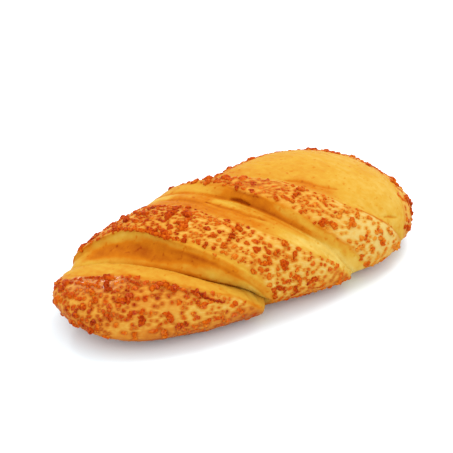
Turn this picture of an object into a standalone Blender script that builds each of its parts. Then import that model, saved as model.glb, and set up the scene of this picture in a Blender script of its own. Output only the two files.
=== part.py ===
"""A cheese bread loaf: an oval loaf with three slanting slashes, and baked cheese crumbs on its crust.

The loaf lies along X with its near tip at -X. One function gives its whole surface, from the places
and depths of the slashes. The crumbs are lumps half sunk in the crust and fused to it.
"""
import math
import random

import bmesh
import bpy
import numpy as np
from mathutils import Matrix, Vector
from mathutils.bvhtree import BVHTree

# Driving dimensions of the loaf, in metres.
LENGTH = 0.2393
WIDTH = 0.1132
HEIGHT = 0.058              # of the plain loaf at mid length
WAIST = 0.0175              # the level where the loaf is widest
FOOT_DEPTH = 0.0229         # how deep the underside would curve, if it weren't cut flat at the table
TUCK = (0.008, -0.017)      # how far the near tip's underside is drawn in, in X and Y
TUCK_BELOW = 0.0222         # and the level where that starts
MIDDLE = (0.0003, 0.0015)    # where the plain loaf's centre lies, which makes the finished loaf central
MM = 0.001

# Shape of the plain loaf.
PLAN_POWER = 2.4            # 2 is an ellipse, more is squarer
SECTION_POWER = 2.2
END_PLACE = 0.999999        # places along the slash axis stop just short of its ends
SLOPE_END = 0.998           # and slopes are measured up to here
SLOPE_STEP = 0.001          # from so far along either way, as a place
SLOPE_TURN = 0.5            # and so far round either way, in degrees
WIDER = (0.166,)            # how width, midline, height and foot change along the length, as factors
ASIDE = (-0.023, -0.037, -0.060)    # of a polynomial of the place from -1, near tip, to 1, far tip
HIGHER = (0.216, -0.146)
DEEPER = (0.11, 0.08)
TUCK_FROM = 0.55            # the tuck starts at this share of the half length
TUCK_POWER = 1.5            # and grows so from its level down to the foot

# The slashes are square to an axis, turned in plan from the loaf's length and tipped up.
SLASH_TURN = math.radians(17.8)
SLASH_LEAN = math.radians(10.9)

# Angles round the slash axis, in degrees from the crest over the near side.
STATIONS = (-110, -60, -25, 5, 45, 90)
SOFTEN = 16                 # lines are rounded over this many degrees either way
FADE_FROM, FADE_TO = 122, 156   # under the loaf every slash closes

# Lines round the loaf: place along the slash axis from -1 to 1, and height in mm, at the stations.
LINES = {
    "near_end": ((-1, -1, -1, -1, -1, -1), (0, 0, 0, 0, 0, 0)),
    "a_top": ((-0.588, -0.615, -0.636, -0.606, -0.58, -0.49), (-2.7, -0.2, -1.6, -1, 0, 2.0)),
    "a_crease": ((-0.538, -0.507, -0.467, -0.466, -0.496, -0.457), (0, 0, 0, 0, 0, 0)),
    "b_low": ((-0.508, -0.418, -0.248, -0.328, -0.377, -0.42), (-1.5, 0.9, 2.2, 1.4, 1.0, -3.2)),
    "b_top": ((-0.032, 0.008, 0.008, -0.072, -0.112, -0.008), (-3.2, -1.0, -1.6, 0, 0.5, 0.8)),
    "b_crease": ((0.018, 0.118, 0.168, 0.128, 0.026, 0.024), (0, 0, 0, 0, 0, 0)),
    "c_low": ((0.068, 0.228, 0.248, 0.172, 0.086, 0.106), (0, 1.3, -1.0, 1.4, 0.8, -1.7)),
    "c_top": ((0.39, 0.29, 0.288, 0.343, 0.313, 0.43), (0, -6.3, 0, 0, 0, -0.7)),
    "d_rim": ((0.6, 0.72, 0.8, 0.88, 0.85, 0.46), (-0.3, -0.6, 0.6, 1, 0.5, -0.8)),
    "far_end": ((1, 1, 1, 1, 1, 1), (0, 0, 0, 0, 0, 0)),
}

# The path over the loaf, piece by piece, between two lines. A slash has its depth at the stations,
# 1 being full. A point is: share of the way to the next line, height in mm, and how tightly the
# path is held there, where 3 makes a crease. A share over 1 hangs over what comes next. The wall under
# the second ridge is undercut near the crest and rounded on the near side: given at the stations too.
WHOLE = (1, 1, 1, 1, 1, 1)
WALL_FOOT = (0.06, (-8.6, -8.6, -8.6, -8.6, -7.8, -7.4), 1)
WALL_LOW = ((0.4, 0.4, 0.4, 0.4, 0.32, 0.30), (-8.2, -8.2, -8.2, -8.0, -5.0, -4.2), 1)
WALL_HIGH = ((0.8, 0.8, 0.8, 0.78, 0.58, 0.55), (-7.4, -7.4, -7.4, -6.6, -2.4, -1.8), 1)
WALL_EDGE = ((1.0, 1.0, 1.0, 0.98, 0.78, 0.75), (-4.5, -4.5, -4.5, -3.6, -0.9, -0.5), 1)
WALL_RIM = ((1.03, 1.03, 1.03, 1.01, 0.90, 0.88), (-1.5, -1.5, -1.5, -1.1, -0.2, 0.0), 1)
PATH = (
    ("near_end", "a_top", WHOLE,
     ((0, 0, 3), (0.12, 0.3, 1), (0.35, 1.0, 1), (0.65, 1.0, 1), (0.88, 0.6, 1))),
    ("a_top", "a_crease", (0, 0.5, 0.8, 1, 1, 1.25),
     ((0, 0, 2), (0.3, -0.9, 1), (0.65, -2.8, 1), (0.95, -5.2, 1))),
    ("a_crease", "b_low", (0, 0.35, 0.8, 1, 1, 1.25),
     ((0, -9.5, 3), WALL_FOOT, WALL_LOW, WALL_HIGH, WALL_EDGE, WALL_RIM)),
    ("b_low", "b_top", WHOLE,
     ((0, 0, 2), (0.2, 0.8, 1), (0.5, 1.3, 1), (0.8, 1.0, 1))),
    ("b_top", "b_crease", (0, 0.1, 0.7, 1, 0.85, 0.6),
     ((0, 0, 2), (0.2, -1.2, 1), (0.48, -3.0, 2), (0.7, -2.5, 1), (0.9, -3.9, 1), (1.0, -4.9, 1))),
    ("b_crease", "c_low", (0, 0.0, 0.7, 1, 0.85, 0.6),
     ((0, -5.2, 1), (0.12, -4.4, 1), (0.35, -2.8, 1), (0.75, -1.0, 1))),
    ("c_low", "c_top", WHOLE,
     ((0, 0, 2), (0.2, 0.8, 1), (0.5, 1.2, 1), (0.8, 0.8, 1))),
    ("c_top", "d_rim", (0, 0.5, 0.8, 1, 0.8, 0.3),
     ((0, 0, 2), (0.05, -1.8, 1), (0.12, -3.4, 2), (0.25, -2.6, 1), (0.5, -0.6, 1), (0.8, 0.2, 1))),
    ("d_rim", "far_end", WHOLE,
     ((0, 0, 2), (0.3, 0.6, 1), (0.7, 0.4, 1), (0.9, 0.1, 1), (1, 0, 3))),
)

# Mesh of the loaf.
SIDES = 40                  # points round each ring
RING_GAP = 0.0066           # rings along the path are at most this far apart
RING_TURN = 0.55            # and turn at most this much, in radians
RING_TRIALS = 30            # places measured for each step of the path
GAUGE_ANGLES = (5.0, 35.0, 65.0)    # where that is measured, in degrees

# Cheese crumbs lie in bands: from line, to line, how many, and from and to which angle.
SEED = 7
BANDS = (
    ("near_end", "a_top", 46, -100, 106),
    ("b_low", "b_top", 44, -96, 104),
    ("c_low", "c_top", 36, -94, 102),
    ("c_top", "d_rim", 7, -90, -34),
    ("d_rim", "far_end", 16, -100, 106),
)
CRUMB_STEPS = (0.7549, 0.5698, 0.6180)   # along, round and in size, chosen so that crumbs lie evenly
CRUMB_LARGE = 0.0033        # half widths
CRUMB_SMALL = 0.0019
CRUMB_HEIGHT = 0.60         # of the half width
CRUMB_SINK = 0.25           # of the height, how far its middle is under the crust
CRUMB_NARROW = 0.72         # the least width over length
CRUMB_UNEVEN = 0.16
CRUMB_SPACE = 1.1           # of the two half widths, the least distance between two crumbs
CRUMB_FOOT = 0.0075         # crumbs lie at least this far above the table
LOOK_FROM = 0.010           # their places are found from this far outside the plain loaf
MERGE = 0.00012             # edges shorter than this are closed up
SHARP_FROM = math.radians(50)    # edges that turn more than this stay sharp

# The largest crumbs, which catch the eye: band, share of the way over it, angle, half width in mm.
MARKED = (
    ("c_low", 0.14, 49, 3.2), ("c_low", 0.22, 54, 3.4), ("b_top", 0.10, -10, 2.6), ("b_top", 0.66, -40, 3.0),
    ("near_end", 0.78, -42, 3.4), ("near_end", 0.64, -47, 3.8), ("near_end", 0.44, -52, 3.2),
    ("near_end", 0.97, -6, 3.2), ("near_end", 0.94, 28, 3.6), ("near_end", 0.94, 36, 3.2),
    ("b_low", 0.04, -10, 3.6), ("b_low", 0.05, -2, 3.4), ("b_low", 0.05, 12, 3.0), ("b_low", 0.88, 98, 3.2),
    ("c_low", 0.45, -24, 3.8), ("c_low", 0.70, -14, 3.6), ("c_low", 0.85, -6, 3.4), ("c_top", 0.65, -36, 3.0),
    ("b_low", 0.61, -12, 3.8), ("b_low", 0.43, 2, 3.8), ("b_low", 0.75, -3, 3.4), ("near_end", 0.62, 22, 3.4),
    ("d_rim", 0.28, 74, 3.0), ("d_rim", 0.46, 84, 2.8), ("d_rim", 0.12, 95, 2.6), ("d_rim", 0.22, 60, 2.4),
    ("c_low", 0.84, 103, 2.8), ("c_low", 0.05, 99, 2.8),
)

CRUST_COLOUR = (0.80, 0.40, 0.09)
CRUST_ROUGHNESS = 0.55


def remove_start_objects():
    for thing in list(bpy.data.objects):
        bpy.data.objects.remove(thing, do_unlink=True)


def slash_frame():
    """The slash axis, and the two directions square to it: up, and to the near side."""
    axis = np.array([math.cos(SLASH_TURN) * math.cos(SLASH_LEAN),
                     math.sin(SLASH_TURN) * math.cos(SLASH_LEAN), math.sin(SLASH_LEAN)])
    up = np.array([0, 0, 1.0]) - axis[2] * axis
    up /= np.linalg.norm(up)
    return axis, up, np.cross(axis, up)


def smooth(t):
    t = np.clip(t, 0, 1)
    return t * t * (3 - 2 * t)


def around(values, psi):
    """A value given at the stations, at any angle, with its corners rounded."""
    steps = np.linspace(-1, 1, 9)
    weights = np.cos(1.3 * steps)
    total = sum(weight * np.interp(psi + step * SOFTEN, STATIONS, values, period=360)
                for step, weight in zip(steps, weights))
    return total / weights.sum()


def change(factors, u):
    return sum(factor * u ** (power + 1) for power, factor in enumerate(factors))


def plain_loaf(q, psi):
    """A point of the loaf without slashes: q along the slash axis, psi degrees round it."""
    axis, up, side = slash_frame()
    q = np.clip(q, -END_PLACE, END_PLACE)
    ring = np.sqrt(1 - q * q)
    angle = np.radians(psi)
    way = (q[..., None] * axis + (ring * np.cos(angle))[..., None] * up
           + (ring * np.sin(angle))[..., None] * side)
    x, y, z = np.moveaxis(way, -1, 0)
    plan = (abs(x) ** PLAN_POWER + abs(y) ** PLAN_POWER) ** (SECTION_POWER / PLAN_POWER)
    reach = (plan + abs(z) ** SECTION_POWER) ** (1 / SECTION_POWER)
    x, y, z = x / reach, y / reach, z / reach
    half_height = np.where(z > 0, (HEIGHT - WAIST) * (1 + change(HIGHER, x)),
                           FOOT_DEPTH * (1 + change(DEEPER, x)))
    return np.stack([MIDDLE[0] + LENGTH / 2 * x,
                     MIDDLE[1] + WIDTH / 2 * (y * (1 + change(WIDER, x)) + change(ASIDE, x)),
                     WAIST + z * half_height], -1)


def outward(q, psi):
    """The plain loaf's normal, from its slopes along and across."""
    q = np.clip(q, -SLOPE_END, SLOPE_END)
    along = plain_loaf(q + SLOPE_STEP, psi) - plain_loaf(q - SLOPE_STEP, psi)
    across = plain_loaf(q, psi + SLOPE_TURN) - plain_loaf(q, psi - SLOPE_TURN)
    normal = np.cross(across, along)
    return normal / np.linalg.norm(normal, axis=-1, keepdims=True)


def open_at(psi):
    """1 where slashes are open, falling to 0 under the loaf."""
    return 1 - smooth((abs(psi) - FADE_FROM) / (FADE_TO - FADE_FROM))


def at_stations(value, psi):
    """A value that is the same all the way round, or given at the stations."""
    return around(value, psi) if isinstance(value, tuple) else value


def path_points(psi):
    """The path's control points at each angle: place along the axis, and height in metres."""
    places, heights = [], []
    for start, end, depth, points in PATH:
        q0, q1 = around(LINES[start][0], psi), around(LINES[end][0], psi)
        h0, h1 = around(LINES[start][1], psi), around(LINES[end][1], psi)
        deep = open_at(psi) * around(depth, psi)
        for share, height, hold in points:
            share, height = at_stations(share, psi), at_stations(height, psi)
            overhang = np.maximum(share - 1, 0) * deep
            place = q0 + (q1 - q0) * (np.minimum(share, 1) + overhang)
            level = (h0 + (h1 - h0) * share) * open_at(psi) + height * deep
            places += [place] * hold
            heights += [level * MM] * hold
    return np.array(places), np.array(heights)


def spline_weights(count, t):
    """Weights of a uniform cubic B-spline's control points at each t, from 0 to count - 3."""
    first = np.clip(np.floor(t).astype(int), 0, count - 4)
    u = t - first
    rows = np.arange(len(t))
    weights = np.zeros((len(t), count))
    weights[rows, first] = (1 - u) ** 3 / 6
    weights[rows, first + 1] = (3 * u ** 3 - 6 * u ** 2 + 4) / 6
    weights[rows, first + 2] = (-3 * u ** 3 + 3 * u ** 2 + 3 * u + 1) / 6
    weights[rows, first + 3] = u ** 3 / 6
    return weights


def loaf_surface(t, psi):
    """Points of the slashed loaf: a row for each t along the path, a column for each angle."""
    places, heights = path_points(psi)
    weights = spline_weights(len(places), t)
    q, height = weights @ places, weights @ heights
    angle = np.broadcast_to(psi, q.shape)
    points = plain_loaf(q, angle) + outward(q, angle) * height[..., None]
    from_tip = smooth((-(points[..., 0] - MIDDLE[0]) / (LENGTH / 2) - TUCK_FROM) / (1 - TUCK_FROM))
    low = np.clip(1 - points[..., 2] / TUCK_BELOW, 0, 1)
    points[..., :2] += np.array(TUCK) * (from_tip * low ** TUCK_POWER)[..., None]
    return points


def crease_places():
    """Places along the path, from the near tip to the far tip, where it has a crease."""
    places, count = [], 0
    for _, _, _, points in PATH:
        for _, _, hold in points:
            if hold == 3:
                places.append(count)
            count += hold
    return places


def ring_places():
    """Places of the rings along the path: one on each crease, and closer ones where it bends."""
    creases = crease_places()
    rings = []
    for start, end in zip(creases, creases[1:]):
        t = np.linspace(start, end, RING_TRIALS * (end - start) + 1)
        step = np.diff(loaf_surface(t, np.array(GAUGE_ANGLES)), axis=0)
        length = np.linalg.norm(step, axis=-1)
        heading = step / np.maximum(length, 1e-9)[..., None]
        turn = np.linalg.norm(np.diff(heading, axis=0, prepend=heading[:1]), axis=-1)
        cost = np.concatenate([[0], np.cumsum(np.hypot(length / RING_GAP, turn / RING_TURN).mean(1))])
        count = max(2, round(cost[-1]))
        rings += list(np.interp(np.arange(count) * cost[-1] / count, cost, t))
    return np.array(rings[1:])


def cut_flat(shape):
    """Cut the shape at the table, and close it with one flat face."""
    everything = shape.verts[:] + shape.edges[:] + shape.faces[:]
    bmesh.ops.bisect_plane(shape, geom=everything, plane_co=(0, 0, 0), plane_no=(0, 0, -1), clear_outer=True)
    rim = [edge for edge in shape.edges if edge.is_boundary]
    bmesh.ops.holes_fill(shape, edges=rim, sides=0)


def loaf_bmesh():
    """The slashed loaf as rings of points from the near tip to the far tip, cut flat underneath."""
    psi = np.arange(SIDES) * 360 / SIDES - 180
    rings = loaf_surface(ring_places(), psi)
    last = crease_places()[-1]
    tips = loaf_surface(np.array([0, last]), psi[:1])[:, 0]
    loaf = bmesh.new()
    rows = [[loaf.verts.new(point) for point in ring] for ring in rings.tolist()]
    near, far = [loaf.verts.new(point) for point in tips.tolist()]
    for side in range(SIDES):
        after = (side + 1) % SIDES
        loaf.faces.new((near, rows[0][after], rows[0][side]))
        loaf.faces.new((far, rows[-1][side], rows[-1][after]))
        for row, above in zip(rows, rows[1:]):
            loaf.faces.new((row[side], row[after], above[after], above[side]))
    bmesh.ops.triangulate(loaf, faces=loaf.faces)
    cut_flat(loaf)
    bmesh.ops.triangulate(loaf, faces=loaf.faces)
    bmesh.ops.recalc_face_normals(loaf, faces=loaf.faces)
    return loaf


def finish_object(name, shape, material):
    mesh = bpy.data.meshes.new(name)
    shape.to_mesh(mesh)
    shape.free()
    thing = bpy.data.objects.new(name, mesh)
    bpy.context.collection.objects.link(thing)
    thing.data.materials.append(material)
    return thing


def on_crust(loaf_tree, band, share, psi):
    """The place on the loaf's surface, and its normal, at a share of a band and an angle."""
    angle = np.array([float(psi)])
    start, end = next((path[0], path[1]) for path in PATH if path[0] == band)
    q0, q1 = around(LINES[start][0], angle), around(LINES[end][0], angle)
    q = q0 + (q1 - q0) * share
    normal = Vector(outward(q, angle)[0])
    above = Vector(plain_loaf(q, angle)[0]) + normal * LOOK_FROM
    place, facing, _, _ = loaf_tree.ray_cast(above, -normal)
    return place, facing


def crumb(place, facing, half_width, draw):
    """A lump of baked cheese, flat side on the crust and a little sunk in it."""
    lump = bmesh.new()
    bmesh.ops.create_icosphere(lump, subdivisions=1, radius=1)
    height = half_width * CRUMB_HEIGHT
    across = draw.uniform(CRUMB_NARROW, 1)
    for vert in lump.verts:
        vert.co *= 1 + draw.uniform(-CRUMB_UNEVEN, CRUMB_UNEVEN)
    size = Matrix.Diagonal((half_width, half_width * across, height, 1))
    spin = Matrix.Rotation(draw.uniform(0, math.tau), 4, "Z")
    lean = facing.to_track_quat("Z", "Y").to_matrix().to_4x4()
    seat = Matrix.Translation(place - facing * height * CRUMB_SINK)
    bmesh.ops.transform(lump, matrix=seat @ lean @ spin @ size, verts=lump.verts)
    return lump


def crumb_spots():
    """Band, share of the way over it, angle and half width: the marked crumbs, then the rest."""
    spots = [(band, share, psi, half_width * MM) for band, share, psi, half_width in MARKED]
    for band, _, count, low, high in BANDS:
        for number in range(count):
            along, about, size = ((0.5 + step * number) % 1 for step in CRUMB_STEPS)
            half_width = CRUMB_SMALL + (CRUMB_LARGE - CRUMB_SMALL) * size ** 2
            spots.append((band, along, low + (high - low) * about, half_width))
    return spots


def crumb_places(loaf_tree):
    """Where crumbs lie on the crust, the way they face, and their half widths."""
    taken = []
    for band, share, psi, half_width in crumb_spots():
        place, facing = on_crust(loaf_tree, band, share, psi)
        if place is None or place.z < CRUMB_FOOT:
            continue
        if all((place - other).length > CRUMB_SPACE * (half_width + width) for other, _, width in taken):
            taken.append((place, facing, half_width))
    return taken


def fuse(loaf, lumps):
    """Join the crumbs to the loaf with one union."""
    crumbs = bpy.data.collections.new("crumbs")
    bpy.context.scene.collection.children.link(crumbs)
    for lump in lumps:
        bpy.context.collection.objects.unlink(lump)
        crumbs.objects.link(lump)
    union = loaf.modifiers.new("crumbs", "BOOLEAN")
    union.operation = "UNION"
    union.operand_type = "COLLECTION"
    union.collection = crumbs
    union.solver = "EXACT"
    bpy.context.view_layer.update()
    joined = loaf.evaluated_get(bpy.context.evaluated_depsgraph_get())
    mesh = bpy.data.meshes.new_from_object(joined)
    loaf.modifiers.remove(union)
    plain = loaf.data
    loaf.data = mesh
    bpy.data.meshes.remove(plain)
    mesh.name = loaf.name
    for lump in list(crumbs.objects):
        bpy.data.objects.remove(lump, do_unlink=True)
    bpy.data.collections.remove(crumbs)


def close_short_edges(shape):
    """Close up the shortest edges, where that leaves the skin whole."""
    for edge in [edge for edge in shape.edges if edge.calc_length() < MERGE]:
        if edge.is_valid:
            beside = [{other.other_vert(vert) for other in vert.link_edges} for vert in edge.verts]
            if len(beside[0] & beside[1]) == 2:
                lower = min(edge.verts, key=lambda vert: vert.co.z)
                bmesh.ops.pointmerge(shape, verts=edge.verts[:], merge_co=lower.co)


def keep_largest_skin(shape):
    """Drop loose scraps, and the walls of any sealed hollow."""
    left, skins = set(shape.verts), []
    while left:
        skin, edge = set(), [left.pop()]
        while edge:
            vert = edge.pop()
            skin.add(vert)
            near = {other.other_vert(vert) for other in vert.link_edges} & left
            left -= near
            edge += near
        skins.append(skin)
    skins.sort(key=len)
    for skin in skins[:-1]:
        bmesh.ops.delete(shape, geom=list(skin), context="VERTS")


def tidy_skin(loaf):
    shape = bmesh.new()
    shape.from_mesh(loaf.data)
    bmesh.ops.triangulate(shape, faces=shape.faces)
    close_short_edges(shape)
    keep_largest_skin(shape)
    shape.to_mesh(loaf.data)
    shape.free()


def crust_material():
    material = bpy.data.materials.new("crust")
    material.use_nodes = True
    shader = material.node_tree.nodes["Principled BSDF"]
    shader.inputs["Base Color"].default_value = (*CRUST_COLOUR, 1)
    shader.inputs["Roughness"].default_value = CRUST_ROUGHNESS
    shader.inputs["Metallic"].default_value = 0.0
    return material


def main():
    remove_start_objects()
    crust = crust_material()
    shape = loaf_bmesh()
    tree = BVHTree.FromBMesh(shape)
    draw = random.Random(SEED)
    loaf = finish_object("loaf", shape, crust)
    lumps = [finish_object("crumb", crumb(*taken, draw), crust) for taken in crumb_places(tree)]
    fuse(loaf, lumps)
    tidy_skin(loaf)
    loaf.data.shade_smooth()
    loaf.data.set_sharp_from_angle(angle=SHARP_FROM)


main()
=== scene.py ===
import math

import bmesh
import bpy
import numpy as np
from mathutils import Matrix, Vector, kdtree, noise


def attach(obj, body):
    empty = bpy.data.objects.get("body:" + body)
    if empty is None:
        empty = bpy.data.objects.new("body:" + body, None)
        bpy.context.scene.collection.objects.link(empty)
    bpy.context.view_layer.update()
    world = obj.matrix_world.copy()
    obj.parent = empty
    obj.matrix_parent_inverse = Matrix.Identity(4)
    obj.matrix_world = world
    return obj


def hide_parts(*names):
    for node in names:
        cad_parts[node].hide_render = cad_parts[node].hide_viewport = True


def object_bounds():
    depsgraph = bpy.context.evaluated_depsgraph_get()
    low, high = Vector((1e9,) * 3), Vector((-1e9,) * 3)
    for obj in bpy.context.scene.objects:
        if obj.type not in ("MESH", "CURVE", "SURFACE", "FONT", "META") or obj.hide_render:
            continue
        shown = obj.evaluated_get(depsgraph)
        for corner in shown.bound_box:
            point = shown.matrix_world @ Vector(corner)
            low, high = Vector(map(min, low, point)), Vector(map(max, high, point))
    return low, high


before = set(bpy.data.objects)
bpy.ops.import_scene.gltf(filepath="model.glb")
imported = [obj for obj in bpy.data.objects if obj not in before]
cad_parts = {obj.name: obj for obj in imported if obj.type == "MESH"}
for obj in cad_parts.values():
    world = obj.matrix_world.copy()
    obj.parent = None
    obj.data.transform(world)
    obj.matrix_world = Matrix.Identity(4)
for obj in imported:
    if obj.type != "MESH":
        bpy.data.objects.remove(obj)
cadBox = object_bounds()
mm = 0.001
print("frame loaded")


# The loaf's form, the same as its solid: an oval, cut by slashes that opened in the oven.
loafForm = {
    "length": 0.2393,
    "width": 0.1132,
    "height": 0.058,            # of the plain loaf at mid length
    "waist": 0.0175,            # the level where it is widest
    "footDepth": 0.0229,        # how deep the underside would curve, if it weren't cut flat
    "middle": (0.0003, 0.0015),
    "planPower": 2.4,           # 2 is an ellipse, more is squarer
    "sectionPower": 2.2,
    "wider": (0.166,),          # changes along the length, from -1 to 1
    "aside": (-0.023, -0.037, -0.060),
    "higher": (0.216, -0.146),
    "deeper": (0.11, 0.08),
    "tuck": (0.008, -0.017),      # the near tip's underside is drawn in
    "tuckFrom": 0.55,
    "tuckBelow": 0.0222,
    "tuckPower": 1.5,
    "slashTurn": math.radians(17.8),
    "slashLean": math.radians(10.9),
    "stations": (-110, -60, -25, 5, 45, 90),    # degrees round the slash axis, crest to near side
    "soften": 16,
    "fadeFrom": 122,            # under the loaf every slash closes
    "fadeTo": 156,
}

# Lines round the loaf: place along the slash axis, and height in mm, at the stations.
loafLines = {
    "nearEnd": ((-1, -1, -1, -1, -1, -1), (0, 0, 0, 0, 0, 0)),
    "aTop": ((-0.588, -0.615, -0.636, -0.606, -0.58, -0.49), (-2.7, -0.2, -1.6, -1, 0, 2.0)),
    "aCrease": ((-0.538, -0.507, -0.467, -0.466, -0.496, -0.457), (0, 0, 0, 0, 0, 0)),
    "bLow": ((-0.508, -0.418, -0.248, -0.328, -0.377, -0.42), (-1.5, 0.9, 2.2, 1.4, 1.0, -3.2)),
    "bTop": ((-0.032, 0.008, 0.008, -0.072, -0.112, -0.008), (-3.2, -1.0, -1.6, 0, 0.5, 0.8)),
    "bCrease": ((0.018, 0.118, 0.168, 0.128, 0.026, 0.024), (0, 0, 0, 0, 0, 0)),
    "cLow": ((0.068, 0.228, 0.248, 0.172, 0.086, 0.106), (0, 1.3, -1.0, 1.4, 0.8, -1.7)),
    "cTop": ((0.39, 0.29, 0.288, 0.343, 0.313, 0.43), (0, -6.3, 0, 0, 0, -0.7)),
    "dRim": ((0.6, 0.72, 0.8, 0.88, 0.85, 0.46), (-0.3, -0.6, 0.6, 1, 0.5, -0.8)),
    "farEnd": ((1, 1, 1, 1, 1, 1), (0, 0, 0, 0, 0, 0)),
}

# The path over the loaf: from line, to line, depth at the stations, and points as share of the way,
# height in mm and how tightly the path is held there, where 3 makes a crease. The second ridge's wall
# is undercut near the crest and rounded on the near side, so it is given at the stations too.
whole = (1, 1, 1, 1, 1, 1)
wallFoot = (0.06, (-8.6, -8.6, -8.6, -8.6, -7.8, -7.4), 1)
wallLow = ((0.4, 0.4, 0.4, 0.4, 0.32, 0.30), (-8.2, -8.2, -8.2, -8.0, -5.0, -4.2), 1)
wallHigh = ((0.8, 0.8, 0.8, 0.78, 0.58, 0.55), (-7.4, -7.4, -7.4, -6.6, -2.4, -1.8), 1)
wallEdge = ((1.0, 1.0, 1.0, 0.98, 0.78, 0.75), (-4.5, -4.5, -4.5, -3.6, -0.9, -0.5), 1)
wallRim = ((1.03, 1.03, 1.03, 1.01, 0.90, 0.88), (-1.5, -1.5, -1.5, -1.1, -0.2, 0.0), 1)
loafPath = (
    ("nearEnd", "aTop", whole,
     ((0, 0, 3), (0.12, 0.3, 1), (0.35, 1.0, 1), (0.65, 1.0, 1), (0.88, 0.6, 1))),
    ("aTop", "aCrease", (0, 0.5, 0.8, 1, 1, 1.25),
     ((0, 0, 2), (0.3, -0.9, 1), (0.65, -2.8, 1), (0.95, -5.2, 1))),
    ("aCrease", "bLow", (0, 0.35, 0.8, 1, 1, 1.25),
     ((0, -9.5, 3), wallFoot, wallLow, wallHigh, wallEdge, wallRim)),
    ("bLow", "bTop", whole, ((0, 0, 2), (0.2, 0.8, 1), (0.5, 1.3, 1), (0.8, 1.0, 1))),
    ("bTop", "bCrease", (0, 0.1, 0.7, 1, 0.85, 0.6),
     ((0, 0, 2), (0.2, -1.2, 1), (0.48, -3.0, 2), (0.7, -2.5, 1), (0.9, -3.9, 1), (1.0, -4.9, 1))),
    ("bCrease", "cLow", (0, 0.0, 0.7, 1, 0.85, 0.6),
     ((0, -5.2, 1), (0.12, -4.4, 1), (0.35, -2.8, 1), (0.75, -1.0, 1))),
    ("cLow", "cTop", whole, ((0, 0, 2), (0.2, 0.8, 1), (0.5, 1.2, 1), (0.8, 0.8, 1))),
    ("cTop", "dRim", (0, 0.5, 0.8, 1, 0.8, 0.3),
     ((0, 0, 2), (0.05, -1.8, 1), (0.12, -3.4, 2), (0.25, -2.6, 1), (0.5, -0.6, 1), (0.8, 0.2, 1))),
    ("dRim", "farEnd", whole, ((0, 0, 2), (0.3, 0.6, 1), (0.7, 0.4, 1), (0.9, 0.1, 1), (1, 0, 3))),
)


def slashFrame():
    turn, lean = loafForm["slashTurn"], loafForm["slashLean"]
    axis = np.array([math.cos(turn) * math.cos(lean), math.sin(turn) * math.cos(lean), math.sin(lean)])
    up = np.array([0, 0, 1.0]) - axis[2] * axis
    up /= np.linalg.norm(up)
    return axis, up, np.cross(axis, up)


def smooth(t):
    t = np.clip(t, 0, 1)
    return t * t * (3 - 2 * t)


def between(low, high, t):    # 0 below low, 1 above high
    return smooth((t - low) / (high - low))


def around(values, psi):    # a value given at the stations, at any angle, its corners rounded
    steps = np.linspace(-1, 1, 9)
    weights = np.cos(1.3 * steps)
    total = sum(weight * np.interp(psi + step * loafForm["soften"], loafForm["stations"], values, period=360)
                for step, weight in zip(steps, weights))
    return total / weights.sum()


def atStations(value, psi):    # one value for all the way round, or one for each station
    return around(value, psi) if isinstance(value, tuple) else value


def change(factors, u):
    return sum(factor * u ** (power + 1) for power, factor in enumerate(factors))


def plainLoaf(q, psi):    # q along the slash axis, psi degrees round it
    form = loafForm
    axis, up, side = slashFrame()
    q = np.clip(q, -0.999999, 0.999999)
    ring = np.sqrt(1 - q * q)
    angle = np.radians(psi)
    way = (q[..., None] * axis + (ring * np.cos(angle))[..., None] * up
           + (ring * np.sin(angle))[..., None] * side)
    x, y, z = np.moveaxis(way, -1, 0)
    plan = abs(x) ** form["planPower"] + abs(y) ** form["planPower"]
    plan = plan ** (form["sectionPower"] / form["planPower"])
    reach = (plan + abs(z) ** form["sectionPower"]) ** (1 / form["sectionPower"])
    x, y, z = x / reach, y / reach, z / reach
    halfHeight = np.where(z > 0, (form["height"] - form["waist"]) * (1 + change(form["higher"], x)),
                          form["footDepth"] * (1 + change(form["deeper"], x)))
    across = y * (1 + change(form["wider"], x)) + change(form["aside"], x)
    return np.stack([form["middle"][0] + form["length"] / 2 * x,
                     form["middle"][1] + form["width"] / 2 * across,
                     form["waist"] + z * halfHeight], -1)


def outward(q, psi):    # the plain loaf's normal, from its slopes
    q = np.clip(q, -0.998, 0.998)
    along = plainLoaf(q + 0.001, psi) - plainLoaf(q - 0.001, psi)
    across = plainLoaf(q, psi + 0.5) - plainLoaf(q, psi - 0.5)
    normal = np.cross(across, along)
    return normal / np.linalg.norm(normal, axis=-1, keepdims=True)


def openAt(psi):    # 1 where slashes are open, 0 under the loaf
    return 1 - between(loafForm["fadeFrom"], loafForm["fadeTo"], abs(psi))


def pathPoints(psi):    # the path's control points at each angle: place, and height in metres
    places, heights = [], []
    for start, end, depth, points in loafPath:
        q0, q1 = around(loafLines[start][0], psi), around(loafLines[end][0], psi)
        h0, h1 = around(loafLines[start][1], psi), around(loafLines[end][1], psi)
        deep = openAt(psi) * around(depth, psi)
        for share, height, hold in points:
            share, height = atStations(share, psi), atStations(height, psi)
            overhang = np.maximum(share - 1, 0) * deep
            place = q0 + (q1 - q0) * (np.minimum(share, 1) + overhang)
            level = (h0 + (h1 - h0) * share) * openAt(psi) + height * deep
            places += [place] * hold
            heights += [level * mm] * hold
    return np.array(places), np.array(heights)


def splineWeights(count, t):    # of a uniform cubic B-spline's points, t from 0 to count - 3
    first = np.clip(np.floor(t).astype(int), 0, count - 4)
    u = t - first
    rows = np.arange(len(t))
    weights = np.zeros((len(t), count))
    weights[rows, first] = (1 - u) ** 3 / 6
    weights[rows, first + 1] = (3 * u ** 3 - 6 * u ** 2 + 4) / 6
    weights[rows, first + 2] = (-3 * u ** 3 + 3 * u ** 2 + 3 * u + 1) / 6
    weights[rows, first + 3] = u ** 3 / 6
    return weights


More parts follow.
